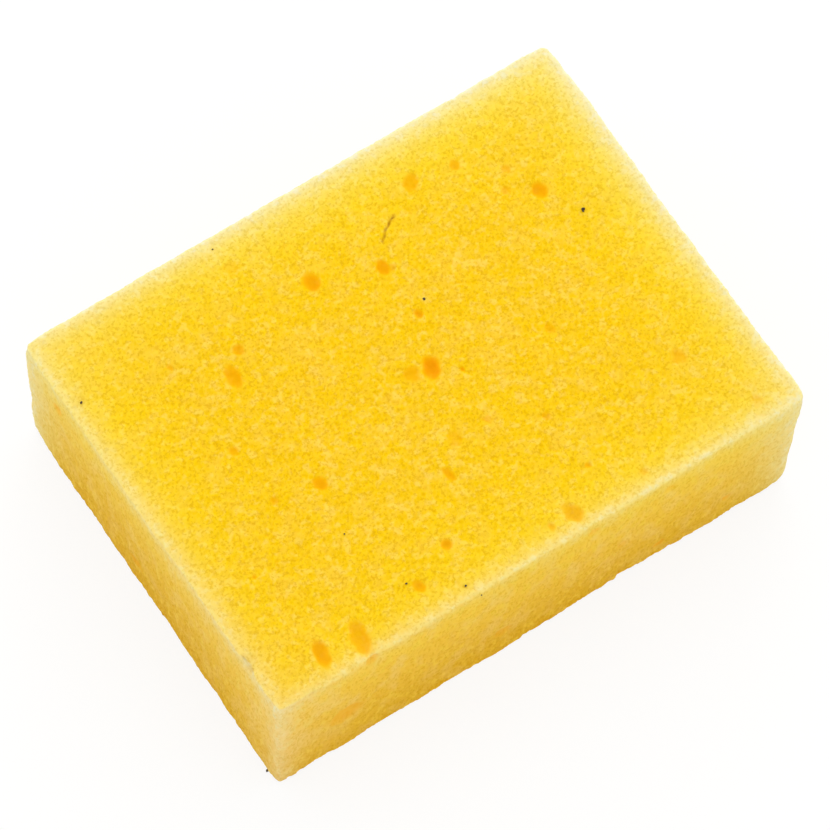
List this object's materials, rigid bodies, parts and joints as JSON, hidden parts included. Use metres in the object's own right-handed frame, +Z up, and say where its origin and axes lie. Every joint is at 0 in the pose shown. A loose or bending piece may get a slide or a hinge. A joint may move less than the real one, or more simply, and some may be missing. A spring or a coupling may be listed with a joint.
{
  "type": "grout sponge",
  "caption": "Rectangular grout and tile sponge: one thick block cut from soft yellow open-cell foam, with rounded edges and a few open bubble pockets.",
  "frame": {"origin": "centre of the bottom face, on the surface the sponge rests on", "axes": "+X along the long side, +Y along the short side, +Z up through the thickness"},
  "size_m": [0.16, 0.12, 0.052],
  "materials": {
    "foam": "matte"
  },
  "bodies": {
    "root": {"foam_block": "foam"}
  },
  "joints": []
}
